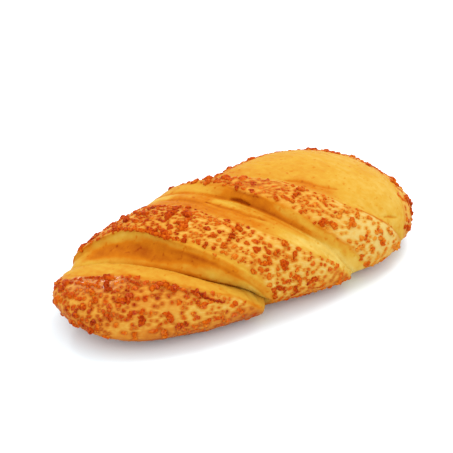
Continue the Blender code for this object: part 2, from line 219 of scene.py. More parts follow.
def loafSurface(t, psi):    # points: a row for each t along the path, a column for each angle
    form = loafForm
    places, heights = pathPoints(psi)
    weights = splineWeights(len(places), t)
    q, height = weights @ places, weights @ heights
    angle = np.broadcast_to(psi, q.shape)
    points = plainLoaf(q, angle) + outward(q, angle) * height[..., None]
    fromTip = between(form["tuckFrom"], 1, -(points[..., 0] - form["middle"][0]) / (form["length"] / 2))
    low = np.clip(1 - points[..., 2] / form["tuckBelow"], 0, 1)
    points[..., :2] += np.array(form["tuck"]) * (fromTip * low ** form["tuckPower"])[..., None]
    return points


def lineRows():    # the path's parameter where each line runs
    found, count = {}, 0
    for start, _, _, points in loafPath:
        found[start] = count if points[0][2] == 3 else count - 0.5
        count += sum(hold for _, _, hold in points)
    found["farEnd"] = count - 3
    return found


# Fine mesh of the crust, with its relief.
crustMesh = {
    "rowGap": 0.85 * mm,        # between rings of points
    "evenAt": (-20.0, 15.0, 45.0, 75.0),    # degrees where the rings' gaps are measured
    "sides": 330,               # points round each ring
    "swell": 0.7 * mm,          # soft unevenness of the whole loaf
    "bumps": 0.32 * mm,         # of the crust between the slashes
    "bumpsEnd": (-0.5, 1.5),    # mm past the crust's edge where they fade out
    "grain": 0.10 * mm,
    "torn": 0.30 * mm,          # lines along the slashes where the dough tore
    "borderWander": 1.6,        # mm that the crust's edge strays from its line
    "edgeSoft": (-2.2, 1.0),    # mm past the crust's edge where crust turns into bare dough
    "edgeUneven": 0.9,
    "backEdge": -33,            # degrees; behind it the far end has crust again
    "backRate": 0.8,            # mm for each degree there
    "barePast": (0, 0, 0, 2.5, 4.0, 0.5),    # mm that the bare dough reaches over the second ridge's rim
    "easeOver": 2.5 * mm,       # the outermost skin keeps inside the solid's box over this depth
    "easeRoom": 0.05 * mm,
}
doughNoise = {    # waves per metre, seed and octaves
    "swell": (26, 1, 2), "bumps": (150, 2, 3), "grain": (520, 5, 2), "border": (90, 6, 3),
    "edge": (420, 8, 2), "softTone": (45, 3, 3), "fineTone": (160, 4, 3), "torn": (1, 9, 2),
    "tornRelief": (330, 0.12),    # waves per metre across the slashes, and as a share of that along them
    "tornTone": (260, 0.10),
}


def evenRows(gap):    # rows along the path at even steps over the loaf
    ends = lineRows()
    t = np.linspace(ends["nearEnd"], ends["farEnd"], 4001)
    measured = loafSurface(t, np.array(crustMesh["evenAt"]))
    step = np.linalg.norm(np.diff(measured, axis=0), axis=-1).mean(1)
    length = np.concatenate([[0], np.cumsum(step)])
    count = int(length[-1] / gap)
    return np.interp(np.linspace(0, length[-1], count + 1), length, t)


def gridNormals(points):
    along = np.gradient(points, axis=0)
    across = np.roll(points, -1, axis=1) - np.roll(points, 1, axis=1)
    normal = np.cross(across, along)
    return normal / (np.linalg.norm(normal, axis=-1, keepdims=True) + 1e-12)


def noiseAt(points, scale, seed, octaves):    # smooth noise from about -1 to 1
    shift = Vector((seed * 3.7, seed * 1.3, seed * 2.1))
    flat = points.reshape(-1, 3) * scale
    fall, finer = 0.8, 2.0    # from octave to octave
    made = [noise.fractal(Vector(point) + shift, fall, finer, octaves) for point in flat]
    return np.array(made).reshape(points.shape[:-1])


def tornAt(points, scale, thin):    # noise drawn out along the slashes
    axis, up, side = slashFrame()
    drawn = np.stack([points @ axis * scale, points @ up * scale * thin, points @ side * scale * thin], -1)
    return noiseAt(drawn, *doughNoise["torn"])


def bareInside(rows, psi, points):    # how far, in mm, each point lies inside a bare opening
    ends = lineRows()
    steps = np.linalg.norm(np.diff(points, axis=0), axis=-1)
    path = np.concatenate([np.zeros((1, points.shape[1])), np.cumsum(steps, axis=0)]) / mm
    inside = np.full(points.shape[:-1], -99.0)    # far outside
    for start, end in (("aTop", "bLow"), ("bTop", "cLow"), ("cTop", "dRim")):
        first = path[np.searchsorted(rows, ends[start])]
        last = path[np.searchsorted(rows, ends[end])]
        past = around(crustMesh["barePast"], psi) if end == "bLow" else 0
        zone = np.minimum(path - first, last + past - path)
        if start == "cTop":
            zone = np.minimum(zone, (psi - crustMesh["backEdge"]) * crustMesh["backRate"])
        inside = np.maximum(inside, zone)
    return inside


def hump(x, low, high, edge):    # 1 between low and high, falling to 0 over the edge
    return between(low - edge, low, x) * (1 - between(high, high + edge, x))


def eased(steps, place):    # one value, or values given as (place, value) and eased between the places
    if not isinstance(steps, tuple):
        return steps
    made = steps[0][1]
    for (low, before), (high, after) in zip(steps, steps[1:]):
        made = made + (after - before) * between(low, high, place)
    return made


def overGrid(rows, psi):    # the row and the angle of every point
    return np.meshgrid(rows, psi, indexing="ij")


# Areas of the loaf are given as: from line, rows past it, to line, rows past it, rows over which the area
# fades, and how much. What changes round the loaf is given at degrees, as eased() reads it.
def areaShare(area, row, angle):
    start, startPast, end, endPast, soft, amount = area
    ends = lineRows()
    low, high = ends[start] + eased(startPast, angle), ends[end] + eased(endPast, angle)
    return eased(amount, angle) * hump(row, low, high, eased(soft, angle))


# How brown the crust and the bare dough are baked, from 0 to 1, with shade painted in the slashes' creases
# and on their walls.
crustToneAndShade = {
    "ridges": {    # of crust between the slashes
        "nearEnd": ("nearEnd", 0, "aTop", 1, 1, ((34, 0.62), (66, 0.32))),
        "second": ("bLow", -1.5, "bTop", 1.5, 1, ((-20, 0.48), (25, 0.34), (40, 0.34), (80, 0.23))),
        "third": ("cLow", -1.5, "cTop", 0, 1, ((0, 0.54), (40, 0.32), (46, 0.32), (70, 0.08))),
        "farEnd": ("cTop", 1, "farEnd", 0, 1, 0.40),
    },
    "foot": (    # browner near the table: mm where it fades from and to, how much, and on which ridge
        (3, 14, 0.35, "all"), (11, 24, 0.16, "all"), (11, 24, 0.06, "nearEnd"), (13, 24, 0.20, "nearEnd"),
        (12, 30, ((48, 0), (72, 0.16)), "second"), (12, 30, ((48, 0), (72, 0.16)), "third"),
    ),
    "bare": 0.27,
    "bareAreas": (    # browner or paler than that; in the creases and on the walls over them, partly painted shade
        ("aTop", 0, "aCrease", -1, 0.5, 0.10),    # the first slash: its shelf, then up its wall
        # painted shade, partly: the dark line in the first crease and the darker bands on the wall over it,
        # under the second ridge's overhang; the rest is the wall's own browner bake
        ("aCrease", -0.2, "aCrease", 0.4, 0.5, ((-30, 0), (-5, 0.40), (15, 0.80))),
        ("aCrease", 1.6, "aCrease", 2.1, 0.5, ((-12, 0), (4, 0.18))),
        ("aCrease", 1.8, "aCrease", 4.4, 0.8,
         ((-66, 0), (-50, 0.07), (-34, 0.07), (0, 0.25), (26, 0.25), (42, 0.09), (50, 0.09), (70, 0.04))),
        ("aCrease", ((0, 3.0), (28, 3.9)), "aCrease", ((0, 3.8), (28, 4.7)), 0.8,
         ((-56, 0), (-36, 0.34), (-12, 0.34), (0, 0.22), (28, 0.22), (45, 0.08), (55, 0.08), (75, 0))),
        ("aCrease", 4.7, "aCrease", 7.5, 0.8, ((-50, 0.14), (-40, 0.04), (-14, 0.04), (2, 0.18), (28, 0.26))),
        ("bTop", 1.4, "bTop", 3.2, 1.2, ((20, 0.30), (54, 0))),    # the second slash: its ear and furrow
        ("bTop", 4.5, "bTop", 5.3, 0.7, ((6, 0), (14, 0.20), (52, 0.20), (60, 0))),
        ("bTop", 3.8, "bTop", 6.2, 1.2, ((-38, 0), (-30, 0.26), (-12, 0.26), (-4, 0))),
        ("bTop", 1.0, "bCrease", 0.5, 1.5, ((30, 0), (60, -0.18))),
        ("bCrease", -1.0, "bCrease", 0.2, 1.0, ((-8, 0.24), (4, 0))),    # its crease and the wall over it, darker in part as painted shade
        ("bCrease", -1.8, "bCrease", 0.2, 1.4, ((4, 0), (14, 0.22), (38, 0.22), (62, 0))),
        ("bCrease", 0.2, "bCrease", 4.2, 1.4, 0.10),
        ("bCrease", 0.2, "bCrease", 4.2, 1.4, ((60, 0), (85, -0.16))),
        ("cTop", 0, "cTop", 4, 2, ((0, 0.10), (25, 0))),    # the far end's big face
        ("cTop", 2.0, "cTop", 3.4, 1.4, ((6, 0), (18, 0.20), (34, 0.20), (46, 0))),
        ("cTop", 4, "farEnd", 0, 2, ((15, 0.05), (45, -0.01))),
    ),
    "wallShadow": (    # painted shade: two areas whose product is the darkest part of the wall over the second crease
        ("bCrease", 0.2, "bCrease", 4.2, 1.4, 1),
        ("bCrease", 0.6, "bCrease", ((12, 3.6), (34, 1.0)), ((12, 1.8), (34, 1.2)),
         ((-22, 0), (6, 0.32), (44, 0.32), (70, 0))),
    ),
    "torn": ("aTop", 0, "cLow", 0, 1, 0.10),    # how much the torn lines show
    "rim": (-1, 1.0, 1.5, 0.14),    # browner along the openings: mm inside from, to, fading over, how much
    "crustNoise": (0.12, 0.08),    # how much of the soft and the fine noise
    "bareNoise": (0.07, 0.06),
}


def crustTones(rows, psi, points, inside):    # how brown the crust is baked, and the bare dough, with painted shade in the creases and on their walls
    toneTable = crustToneAndShade
    row, angle = overGrid(rows, psi)
    level = points[..., 2] / mm
    soft, fine = noiseAt(points, *doughNoise["softTone"]), noiseAt(points, *doughNoise["fineTone"])
    crust = sum(areaShare(area, row, angle) for area in toneTable["ridges"].values())
    for low, high, amount, ridge in toneTable["foot"]:
        share = 1 if ridge == "all" else areaShare(toneTable["ridges"][ridge][:5] + (1,), row, angle)
        crust += eased(amount, angle) * share * (1 - between(low, high, level))
    crust += toneTable["crustNoise"][0] * soft + toneTable["crustNoise"][1] * fine
    bare = toneTable["bare"] + toneTable["bareNoise"][0] * soft + toneTable["bareNoise"][1] * fine
    bare += tornAt(points, *doughNoise["tornTone"]) * areaShare(toneTable["torn"], row, angle)
    bare += sum(areaShare(area, row, angle) for area in toneTable["bareAreas"])
    # painted shade: the darkest part of the wall over the second crease
    darkest, over = (areaShare(area, row, angle) for area in toneTable["wallShadow"])
    low, high, edge, amount = toneTable["rim"]
    bare += darkest * over + amount * hump(inside, low, high, edge)
    return np.clip(crust, 0, 1), np.clip(bare, 0, 1)


# Small folds and cracks: from line, to line, and points as share of the way and degrees. Depth and half
# width are in mm.
folds = (
    # the slit: its brown is partly painted shade in the crack
    {"along": ("bCrease", "cLow", ((0.12, 0), (0.15, 3), (0.16, 6), (0.14, 9), (0.08, 12))),
     "depth": 2.2, "half": 0.85, "brown": 0.80},
    {"along": ("bTop", "bCrease", ((0.62, -9), (0.60, 0), (0.61, 9), (0.57, 18), (0.62, 28))),
     "depth": 0.8, "half": 1.2, "brown": 0.42},
    {"along": ("cTop", "dRim", ((0.13, 10), (0.16, 14), (0.18, 18), (0.185, 24), (0.20, 29), (0.24, 35))),
     "depth": 0.6, "half": 1.7, "brown": 0.20},
    {"along": ("cTop", "dRim", ((0.17, 68), (0.27, 70), (0.38, 73), (0.50, 75))),
     "depth": 0.6, "half": 0.8, "brown": 0.30},
    {"along": ("cTop", "dRim", ((0.01, 54), (0.01, 64), (0.01, 74), (0.01, 86))),
     "depth": 0.5, "half": 0.6, "brown": 0.5},
    {"along": ("aTop", "aCrease", ((0.99, 2), (0.985, 20), (0.985, 45), (0.99, 75))),
     "depth": 0.3, "half": 0.8, "brown": 0.25},
)


def alongLine(start, end, points, step):    # places on the loaf along a drawn line, at even steps
    shares, angles = np.array(points, dtype=float).T
    knots = np.linspace(0, 1, len(points))
    fine = np.linspace(0, 1, 60)
    angles, shares = np.interp(fine, knots, angles), np.interp(fine, knots, shares)
    places = np.array([loafSurface(np.array([rowAt(start, end, share, angle)]), np.array([angle]))[0, 0]
                       for share, angle in zip(shares, angles)])
    length = np.concatenate([[0], np.cumsum(np.linalg.norm(np.diff(places, axis=0), axis=1))])
    count = max(int(length[-1] / step), 2)
    even = np.linspace(0, length[-1], count)
    return np.stack([np.interp(even, length, places[:, axis]) for axis in range(3)], -1)


foldShape = {
    "step": 0.4 * mm,           # along the fold
    "taper": (0.05, 0.95),      # how its ends narrow, as shares of half a wave
    "reach": 4 * mm,            # beyond this nothing moves
}


def foldShare(fold, points):    # 1 on a fold, 0 away from it, narrower towards its ends
    start, end, drawn = fold["along"]
    line = alongLine(start, end, drawn, foldShape["step"])
    width = fold["half"] * mm * np.sqrt(np.sin(np.linspace(*foldShape["taper"], len(line)) * math.pi))
    found = np.zeros(points.shape[:-1])
    low, high = line.min(0) - foldShape["reach"], line.max(0) + foldShape["reach"]
    near = np.all((points > low) & (points < high), axis=-1)
    gaps = np.linalg.norm(points[near][:, None] - line, axis=-1) / width
    found[near] = np.exp(-gaps.min(1) ** 2)
    return found


def addRelief(points, inside):    # the points moved out and in, and the folds' darkening, in the slit partly painted shade
    settings = crustMesh
    normals = gridNormals(points)
    crust = 1 - between(*settings["bumpsEnd"], inside)
    lift = settings["swell"] * noiseAt(points, *doughNoise["swell"])
    lift += settings["bumps"] * crust * noiseAt(points, *doughNoise["bumps"])
    lift += settings["grain"] * noiseAt(points, *doughNoise["grain"])
    lift += settings["torn"] * (1 - crust) * tornAt(points, *doughNoise["tornRelief"])
    brown = np.zeros(inside.shape)
    for fold in folds:
        share = foldShare(fold, points)
        lift -= fold["depth"] * mm * share
        brown += fold["brown"] * share
    return points + normals * lift[..., None], brown


def withinBox(points):    # eased back near the top and sides of the solid's own box
    kept = np.array(points, dtype=float)
    room = crustMesh["easeOver"]
    for axis, (low, high) in enumerate(zip(*cadBox)):
        for sign, limit in ((1, high), (-1, -low)):
            if axis == 2 and sign < 0:
                continue
            over = sign * kept[..., axis] - (limit - room - crustMesh["easeRoom"])
            pulled = room * (1 - np.exp(-np.maximum(over, 0) / room))
            kept[..., axis] -= sign * np.where(over > 0, over - pulled, 0)
    return kept


def setAttribute(mesh, name, values):
    layer = mesh.attributes.new(name, "FLOAT", "POINT")
    layer.data.foreach_set("value", np.ascontiguousarray(values, dtype=np.float32).ravel())


def cutFlat(mesh):    # at the table, closed with one flat face
    shape = bmesh.new()
    shape.from_mesh(mesh)
    everything = shape.verts[:] + shape.edges[:] + shape.faces[:]
    bmesh.ops.bisect_plane(shape, geom=everything, plane_co=(0, 0, 0), plane_no=(0, 0, -1), clear_outer=True)
    bmesh.ops.holes_fill(shape, edges=[edge for edge in shape.edges if edge.is_boundary], sides=0)
    shape.to_mesh(mesh)
    shape.free()


def gridFaces(rowCount, sides):
    corner = np.arange((rowCount - 1) * sides).reshape(rowCount - 1, sides)
    after = np.roll(corner, -1, axis=1)
    return np.stack([corner, corner + sides, after + sides, after], -1).reshape(-1, 4)


def makeObject(name, verts, faces, material):
    mesh = bpy.data.meshes.new(name)
    mesh.vertices.add(len(verts))
    mesh.vertices.foreach_set("co", np.ascontiguousarray(verts, dtype=np.float32).ravel())
    sizes = np.array([len(face) for face in faces])
    corners = np.concatenate([np.asarray(face) for face in faces])
    mesh.loops.add(len(corners))
    mesh.loops.foreach_set("vertex_index", corners.astype(np.int32))
    mesh.polygons.add(len(faces))
    mesh.polygons.foreach_set("loop_start", np.concatenate([[0], np.cumsum(sizes)[:-1]]).astype(np.int32))
    mesh.update(calc_edges=True)
    thing = bpy.data.objects.new(name, mesh)
    bpy.context.collection.objects.link(thing)
    mesh.materials.append(material)
    return thing


def smoothShade(thing):
    thing.data.polygons.foreach_set("use_smooth", np.ones(len(thing.data.polygons), dtype=bool))
    thing.data.update()


crustShine = {    # the near end shines, most of all in one patch
    "nearEnd": 0.06,
    "patch": ("aTop", -2.0, "aTop", -0.3, 0.8, ((-44, 0), (-30, 0.45), (2, 0.45), (16, 0))),
    "patchInside": 0.5,         # mm past the crust's edge where it stops
}


def crustGlaze(rows, psi, inside):
    row, angle = overGrid(rows, psi)
    patch = areaShare(crustShine["patch"], row, angle) * (inside < crustShine["patchInside"])
    return crustShine["nearEnd"] * (row < lineRows()["aTop"]) + patch


def withTips(values):    # one value for each point, where the end rings are single points
    return np.concatenate([values[1:-1].ravel(), [values[0].mean(), values[-1].mean()]])


def makeCrust(material):
    rows = evenRows(crustMesh["rowGap"])
    sides = crustMesh["sides"]
    psi = np.arange(sides) * 360 / sides - 180
    points = loafSurface(rows, psi)
    wander = noiseAt(points, *doughNoise["border"]) * crustMesh["borderWander"]
    inside = bareInside(rows, psi, points) + wander
    points, brown = addRelief(points, inside)
    points = withinBox(points)
    crust, bare = crustTones(rows, psi, points, inside)
    # the folds' darkening, in the slit partly painted shade
    bare = np.clip(bare + brown, 0, 1)
    uneven = crustMesh["edgeUneven"] * noiseAt(points, *doughNoise["edge"])
    inner = points[1:-1]
    tips = np.array([points[0].mean(0), points[-1].mean(0)])
    verts = np.concatenate([inner.reshape(-1, 3), tips])
    faces = list(gridFaces(len(inner), sides))
    last = (len(inner) - 1) * sides
    for side in range(sides):
        after = (side + 1) % sides
        faces.append((len(verts) - 2, side, after))
        faces.append((len(verts) - 1, last + after, last + side))
    crustPiece = makeObject("loafCrust", verts, faces, material)
    setAttribute(crustPiece.data, "crustTone", withTips(crust))
    setAttribute(crustPiece.data, "bareTone", withTips(bare))
    setAttribute(crustPiece.data, "bareShare", withTips(between(*crustMesh["edgeSoft"], inside + uneven)))
    setAttribute(crustPiece.data, "glaze", withTips(crustGlaze(rows, psi, inside)))
    cutFlat(crustPiece.data)
    smoothShade(crustPiece)
    print("crust made:", len(crustPiece.data.vertices), "points")
    return crustPiece, rows, psi, points, inside


# Cheese baked on the crust, in flecks of fused lumps. The largest lie where the solid's crumbs are.
cheeseBands = (    # from line, to line, how many, and the degrees they lie between
    ("nearEnd", "aTop", 46, -100, 106), ("bLow", "bTop", 44, -96, 104), ("cLow", "cTop", 36, -94, 102),
    ("cTop", "dRim", 7, -90, -34), ("dRim", "farEnd", 16, -100, 106),
)
markedCheese = (    # seen one by one: from line, to line, share of the way, degrees, half width in mm
    ("cLow", "cTop", 0.14, 49, 3.2), ("cLow", "cTop", 0.22, 54, 3.4),
    ("bTop", "bCrease", 0.10, -10, 2.6), ("bTop", "bCrease", 0.66, -40, 3.0),
    ("nearEnd", "aTop", 0.78, -42, 3.4), ("nearEnd", "aTop", 0.64, -47, 3.8),
    ("nearEnd", "aTop", 0.44, -52, 3.2), ("nearEnd", "aTop", 0.97, -6, 3.2),
    ("nearEnd", "aTop", 0.94, 28, 3.6), ("nearEnd", "aTop", 0.94, 36, 3.2),
    ("bLow", "bTop", 0.04, -10, 3.6), ("bLow", "bTop", 0.05, -2, 3.4), ("bLow", "bTop", 0.05, 12, 3.0),
    ("bLow", "bTop", 0.88, 98, 3.2), ("cLow", "cTop", 0.45, -24, 3.8), ("cLow", "cTop", 0.70, -14, 3.6),
    ("cLow", "cTop", 0.85, -6, 3.4), ("cTop", "dRim", 0.65, -36, 3.0), ("bLow", "bTop", 0.61, -12, 3.8),
    ("bLow", "bTop", 0.43, 2, 3.8), ("bLow", "bTop", 0.75, -3, 3.4), ("nearEnd", "aTop", 0.62, 22, 3.4),
    ("dRim", "farEnd", 0.28, 74, 3.0), ("dRim", "farEnd", 0.46, 84, 2.8),
    ("dRim", "farEnd", 0.12, 95, 2.6), ("dRim", "farEnd", 0.22, 60, 2.4),
    ("cLow", "cTop", 0.84, 103, 2.8), ("cLow", "cTop", 0.05, 99, 2.8),
)
cheeseRule = {
    "half": (1.9, 3.3),         # mm, of the largest flecks
    "steps": (0.7549, 0.5698, 0.6180),    # along, round and in size, so that they lie evenly
    "space": 1.1,
    "largeLowest": 7.5,         # mm above the table where the largest start
    "largeRoom": 0.8,           # share of their half width that the rest keep out of
    "lowest": (5.0, 9.0),       # mm above the table where the rest start, and where they are all there
    "inside": 0.2,              # mm that they may lie past the crust's edge
    "tries": 10,                # places tried for each
    "smaller": 1.5,             # more than 1 gives more small ones
    "under": ((105, 1), (125, 0)),    # how many there are, at degrees either way from the crest
    "nearSide": ((40, 1), (62, 0.76)),
    "nearEnd": ((18, 0.85), (45, 0.60)),
    "second": ("bLow", 0, "bTop", 0, 1, 0.1),    # a few more on the second ridge
    "secondTo": 5,              # degrees
    "thirdNearSide": ((48, 1), (62, 0.38)),
    "bareTip": ((66, 0), (80, 0.97)),    # fewer under the near end, by mm from the middle
    "bareTipLow": ((13, 1), (18, 0)),    # and mm above the table
}
cheeseKinds = (    # half widths in mm, the rest as shares of them, heights in mm
    {"name": "cheeseChunks", "lumps": (7, 11), "lump": (0.36, 0.55),
     "height": (0.9, 1.6), "step": (0.30, 0.52), "tone": 0.10, "sides": 10, "levels": (0.42, 0.78, 1.0),
     "seed": 11},
    {"name": "cheeseShreds", "half": (1.1, 2.4), "lumps": (3, 6), "lump": (0.42, 0.74),
     "height": (0.42, 0.72), "step": (0.30, 0.54), "tone": 0.0, "sides": 9, "levels": (0.6, 1.0),
     "seed": 12, "count": 920, "settled": 0.35},    # lower by this share on the near end
    {"name": "cheeseSpecks", "half": (0.45, 0.85), "lumps": (1, 2), "lump": (0.7, 1.0),
     "height": (0.3, 0.5), "step": (0.5, 0.7), "tone": -0.08, "sides": 8, "levels": (0.6, 1.0),
     "seed": 13, "count": 850},
    {"name": "cheeseRuns", "height": (0.5, 0.9), "tone": 0.04, "sides": 9, "levels": (0.6, 1.0), "seed": 14},
)
cheeseRuns = (    # cheese that ran together on the crust's edges: lines, half width in mm, share and degrees
    ("nearEnd", "aTop", 1.1, ((1.0, 25), (0.95, 31), (0.95, 36), (0.96, 40), (0.91, 46))),
    ("nearEnd", "aTop", 1.1, ((1.0, -4), (0.94, -6), (0.96, -13), (0.97, -26))),
    ("nearEnd", "aTop", 0.9, ((0.97, 6), (0.92, 13), (0.88, 19))),
    ("nearEnd", "aTop", 1.0, ((0.97, 47), (0.92, 54), (0.89, 60), (0.91, 67))),
    ("nearEnd", "aTop", 1.3, ((0.84, -30), (0.80, -20), (0.80, -10), (0.74, -4))),
    ("bLow", "bTop", 1.3, ((0.02, -26), (0.0, -17), (0.0, -9), (0.01, -1), (0.03, 5), (0.06, 10))),
    ("bLow", "bTop", 1.1, ((0.06, -58), (0.16, -54), (0.21, -48))),
    ("bLow", "bTop", 1.0, ((0.10, -37), (0.05, -31), (0.02, -26))),
    ("bLow", "bTop", 1.0, ((0.95, -34), (0.93, -24), (0.96, -14))),
)
lumpShape = {
    "sunk": 0.30,               # mm that a lump's rim lies under the crust
    "jitter": 0.20,             # unevenness of its outline
    "rough": 0.12,              # unevenness of its top
    "long": (1.0, 1.9),         # length over width
    "dome": 2.2,                # more is flatter on top
    "widerTaller": 0.6,         # how much height goes with width
    "space": 0.82,              # between flecks, as a share of their half widths
    "cell": 5 * mm,             # of the grid in which room is looked for
}
clusterShape = {
    "turn": 1.3,                # radians that a fleck winds at each lump
    "carryOn": 0.6,             # how often a lump follows the last one
    "hug": 0.7,                 # how much of a lump's place sideways is kept
    "pastEdge": 0.8,            # mm past the crust's edge where lumps are left out
    "pastChance": 0.04,         # but for a few
}
runShape = {
    "step": 0.55,               # between lumps, in half widths
    "taper": (0.12, 0.88),      # as a fold's
    "lump": (0.6, 1.15),
    "stray": 0.22,
}


def rowAt(start, end, share, psi):    # the path's parameter a share of the way from line to line
    ends = lineRows()
    t = np.linspace(ends[start], ends[end], 200)
    places, _ = pathPoints(np.array([float(psi)]))
    q = (splineWeights(len(places), t) @ places)[:, 0]
    return np.interp(q[0] + (q[-1] - q[0]) * share, q, t)


def largeCheese():    # centre and half width of each large fleck
    found = []
    spots = list(markedCheese)
    for start, end, count, low, high in cheeseBands:
        for number in range(count):
            along, about, size = ((0.5 + step * number) % 1 for step in cheeseRule["steps"])
            small, large = cheeseRule["half"]
            spots.append((start, end, along, low + (high - low) * about, small + (large - small) * size ** 2))
    for start, end, share, psi, half in spots:
        centre = loafSurface(np.array([rowAt(start, end, share, psi)]), np.array([float(psi)]))[0, 0]
        reach = half * mm
        apart = all(np.linalg.norm(centre - other) > cheeseRule["space"] * (reach + width)
                    for other, width in found)
        if centre[2] > cheeseRule["largeLowest"] * mm and apart:
            found.append((centre, reach))
    return found


def cheeseChance(surface):    # how likely a fleck is at each point of the crust
    rows, psi, points, inside = surface
    rule, ends = cheeseRule, lineRows()
    row, angle = overGrid(rows, psi)
    x, level = points[..., 0], points[..., 2]
    patch = np.cross(np.roll(points, -1, 1) - points, np.gradient(points, axis=0))
    likely = np.linalg.norm(patch, axis=-1) * (inside < rule["inside"])
    likely *= between(*rule["lowest"], level / mm) * eased(rule["under"], abs(angle))
    likely *= eased(rule["nearSide"], angle)
    nearEnd = row < ends["aTop"]
    second = 1 + areaShare(rule["second"], row, angle) * (angle < rule["secondTo"])
    likely *= np.where(nearEnd, eased(rule["nearEnd"], angle), second)
    likely *= np.where(row > ends["cLow"] - 1, eased(rule["thirdNearSide"], angle), 1)
    likely *= 1 - nearEnd * eased(rule["bareTipLow"], level / mm) * eased(rule["bareTip"], -x / mm)
    likely[0] = likely[-1] = 0
    return likely.ravel() / likely.sum()


def scatterFlecks(kind, surface, taken, draw):    # centre and half width of each fleck of a kind
    chance = cheeseChance(surface)
    tries = kind["count"] * cheeseRule["tries"]
    spots = surface[2].reshape(-1, 3)[draw.choice(chance.size, size=tries, p=chance)]
    low, high = kind["half"]
    reaches = (low + (high - low) * draw.random(len(spots)) ** cheeseRule["smaller"]) * mm
    found = []
    for spot, reach in zip(spots, reaches):
        if len(found) >= kind["count"]:
            break
        if roomFor(spot, reach, taken):
            takeRoom(spot, reach, taken)
            found.append((spot, reach))
    return found


def cellOf(spot):
    return tuple((spot // lumpShape["cell"]).astype(int))


def roomFor(spot, reach, taken):
    x, y, z = cellOf(spot)
    cells = ((x + dx, y + dy, z + dz) for dx in (-1, 0, 1) for dy in (-1, 0, 1) for dz in (-1, 0, 1))
    return all(np.sum((spot - other) ** 2) > (lumpShape["space"] * (reach + width)) ** 2
               for cell in cells for other, width in taken.get(cell, ()))


def takeRoom(spot, reach, taken):
    taken.setdefault(cellOf(spot), []).append((spot, reach))


def ontoCrust(spot, under, points, normals):    # straight onto the crust's surface
    return spot - np.dot(spot - points[under], normals[under]) * normals[under]


def windOut(kind, reach, draw):    # places of a fleck's lumps, each a step from another, about their middle
    heading = draw.uniform(0, math.tau)
    offsets = [np.zeros(2)]
    for _ in range(draw.integers(kind["lumps"][0], kind["lumps"][1] + 1) - 1):
        heading += draw.normal() * clusterShape["turn"]
        carriesOn = draw.random() < clusterShape["carryOn"]
        start = offsets[-1] if carriesOn else offsets[draw.integers(len(offsets))]
        step = draw.uniform(*kind["step"]) * reach
        offsets.append(start + step * np.array([math.cos(heading), math.sin(heading)]))
    return np.array(offsets) - np.mean(offsets, axis=0)


def growLumps(flecks, kind, crustTree, surface, draw):    # each lump's fleck, crust point, place, half width
    points, inside = surface[2].reshape(-1, 3), surface[3].ravel()
    normals = gridNormals(surface[2]).reshape(-1, 3)
    hug = clusterShape["hug"]
    lumps = []
    for number, (centre, reach) in enumerate(flecks):
        _, nearest, _ = crustTree.find(centre)
        sideways = np.cross(normals[nearest], draw.normal(size=3))
        sideways /= np.linalg.norm(sideways)
        ahead = np.cross(normals[nearest], sideways)
        for u, v in windOut(kind, reach, draw):
            spot = centre + u * sideways + v * ahead
            _, under, _ = crustTree.find(spot)
            if inside[under] > clusterShape["pastEdge"] and draw.random() > clusterShape["pastChance"]:
                continue
            spot = (1 - hug) * points[under] + hug * ontoCrust(spot, under, points, normals)
            lumps.append((number, under, spot, reach * draw.uniform(*kind["lump"])))
    return lumps


def growRuns(crustTree, surface, draw):    # lumps strung along the edges of the crust
    points, normals = surface[2].reshape(-1, 3), gridNormals(surface[2]).reshape(-1, 3)
    lumps = []
    for number, (start, end, half, drawn) in enumerate(cheeseRuns):
        line = alongLine(start, end, drawn, runShape["step"] * half * mm)
        swell = np.sqrt(np.sin(np.linspace(*runShape["taper"], len(line)) * math.pi))
        for place, share in zip(line, swell):
            reach = half * mm * share * draw.uniform(*runShape["lump"])
            spot = place + draw.normal(0, runShape["stray"] * half * mm, 3)
            _, under, _ = crustTree.find(spot)
            lumps.append((number, under, ontoCrust(spot, under, points, normals), reach))
    return lumps


def lumpPoints(kind, surface, lumps, nearEnd, draw):    # a row of points for each lump, and how high they lie
    shape, count, sides, levels = lumpShape, len(lumps), kind["sides"], np.array(kind["levels"])
    under = np.array([lump[1] for lump in lumps])
    spots = np.array([lump[2] for lump in lumps])
    halves = np.array([lump[3] for lump in lumps])
    normals = gridNormals(surface[2]).reshape(-1, 3)[under]
    first = np.cross(normals, draw.normal(size=(count, 3)))
    first /= np.linalg.norm(first, axis=1, keepdims=True)
    second = np.cross(normals, first)
    long = np.sqrt(draw.uniform(*shape["long"], (count, 1, 1)))
    angles = np.arange(sides) * math.tau / sides
    outline = 1 + shape["jitter"] * draw.normal(size=(count, 1, sides))
    reach = levels[None, :, None] * (1 + (outline - 1) * levels[None, :, None]) * halves[:, None, None]
    height = draw.uniform(*kind["height"], count) * mm * (halves / halves.mean()) ** shape["widerTaller"]
    height *= 1 - kind.get("settled", 0) * nearEnd
    dome = np.sqrt(np.clip(1 - levels ** shape["dome"], 0, 1))[None, :, None]
    top = dome * height[:, None, None] * (1 + shape["rough"] * draw.normal(size=(count, len(levels), sides)))
    top = np.where(levels[None, :, None] == 1, -shape["sunk"] * mm, top)
    ring = (spots[:, None, None] + (reach * np.cos(angles) * long)[..., None] * first[:, None, None]
            + (reach * np.sin(angles) / long)[..., None] * second[:, None, None]
            + top[..., None] * normals[:, None, None])
    peak = spots + normals * height[:, None]
    verts = withinBox(np.concatenate([peak[:, None], ring.reshape(count, -1, 3)], axis=1))
    return verts, np.concatenate([[1.0], np.repeat(dome.ravel(), sides)])


